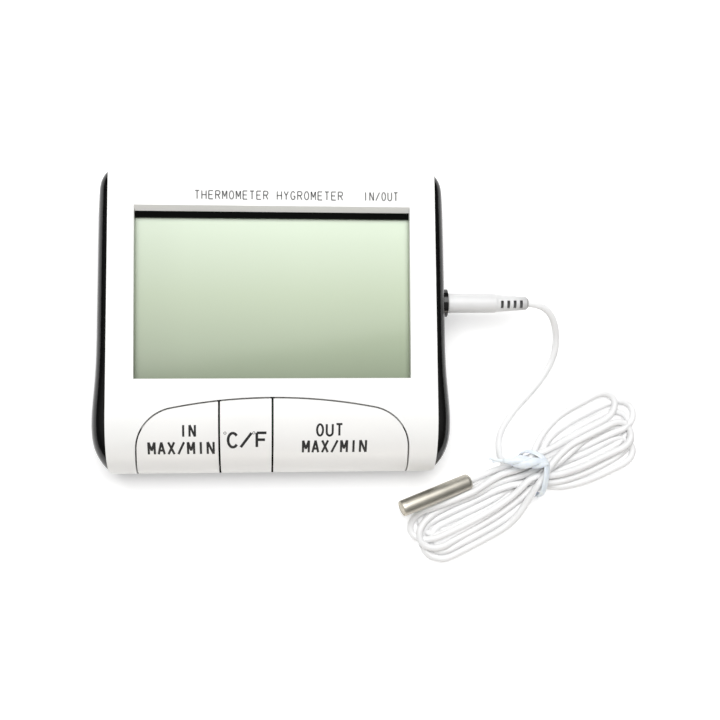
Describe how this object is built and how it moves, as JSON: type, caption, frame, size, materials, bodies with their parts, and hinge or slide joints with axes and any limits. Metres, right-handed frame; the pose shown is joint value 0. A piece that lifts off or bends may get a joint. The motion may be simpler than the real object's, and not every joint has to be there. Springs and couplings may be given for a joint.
{
  "type": "digital maximum and minimum thermometer",
  "caption": "Slim indoor and outdoor display thermometer with press keys, fold-out stand, hanging hole and a metal probe on a tied lead.",
  "frame": {"origin": "centre of the case's footprint, on its flat back, as it lies on a table", "axes": "+Z out of the display, +Y towards the top of the case, +X towards the jack"},
  "size_m": [0.1737, 0.1215, 0.024],
  "materials": {
    "white_case": "satin white moulded plastic",
    "white_keys": "satin white moulded plastic",
    "black_case": "gloss black moulded plastic",
    "black_frame": "matt black plastic",
    "lcd_glass": "light green polarised display glass, blank",
    "reflector": "dull foil",
    "rubber_strip": "layered conductive rubber",
    "board": "green solder mask",
    "steel": "zinc-plated steel",
    "nickel": "nickel-plated metal",
    "resin": "potting resin",
    "cell": "plain printed sleeve",
    "red_wire": "insulated wire",
    "white_lead": "soft white cord jacket",
    "tie": "pale blue-white plastic-covered wire"
  },
  "bodies": {
    "case": {"front_shell": "white_case", "rear_shell": "black_case", "case_screws": "steel", "board_screws": "steel", "lcd_frame": "black_frame", "lcd_glass": "lcd_glass", "lcd_reflector": "reflector", "zebra_strip": "rubber_strip", "in_switch": "steel", "unit_switch": "steel", "out_switch": "steel", "circuit_board": "board", "chip_blob": "black_frame", "timing_crystal": "steel", "capacitor": "steel", "chip_parts": "black_frame", "humidity_sensor": "white_keys", "room_thermistor": "resin", "jack_socket": "black_frame", "jack_contacts": "steel", "battery_cell": "cell", "battery_spring": "steel", "battery_plate": "steel", "red_wire": "red_wire", "black_wire": "black_frame"},
    "stand": {"stand_leg": "black_case"},
    "door": {"battery_door": "black_case"},
    "probe_lead": {"plug_grip": "white_lead", "plug_pin": "nickel", "plug_insulators": "black_frame", "cord_lead": "white_lead", "cord_hank": "white_lead", "cord_tail": "white_lead", "cord_tie": "tie", "probe_sleeve": "nickel", "probe_end": "resin"},
    "in_button": {"in_key": "white_keys", "in_plunger": "black_frame"},
    "unit_button": {"unit_key": "white_keys", "unit_plunger": "black_frame"},
    "out_button": {"out_key": "white_keys", "out_plunger": "black_frame"}
  },
  "joints": [
    {"name": "in_press", "type": "slide", "parent": "case", "child": "in_button", "axis": [0, 0, -1], "range_m": [0, 0.0006], "stiffness_N_per_m": 1500},
    {"name": "unit_press", "type": "slide", "parent": "case", "child": "unit_button", "axis": [0, 0, -1], "range_m": [0, 0.0006], "stiffness_N_per_m": 1500},
    {"name": "out_press", "type": "slide", "parent": "case", "child": "out_button", "axis": [0, 0, -1], "range_m": [0, 0.0006], "stiffness_N_per_m": 1500},
    {"name": "stand_hinge", "type": "hinge", "parent": "case", "child": "stand", "pos_m": [0, 0.008, 0.00175], "axis": [1, 0, 0], "range_deg": [0, 65]},
    {"name": "door_hinge", "type": "hinge", "parent": "case", "child": "door", "pos_m": [0, 0.0139, 0.00125], "axis": [-1, 0, 0], "range_deg": [0, 75]},
    {"name": "plug_pull", "type": "slide", "parent": "case", "child": "probe_lead", "axis": [1, 0, 0], "range_m": [0, 0.015]}
  ]
}
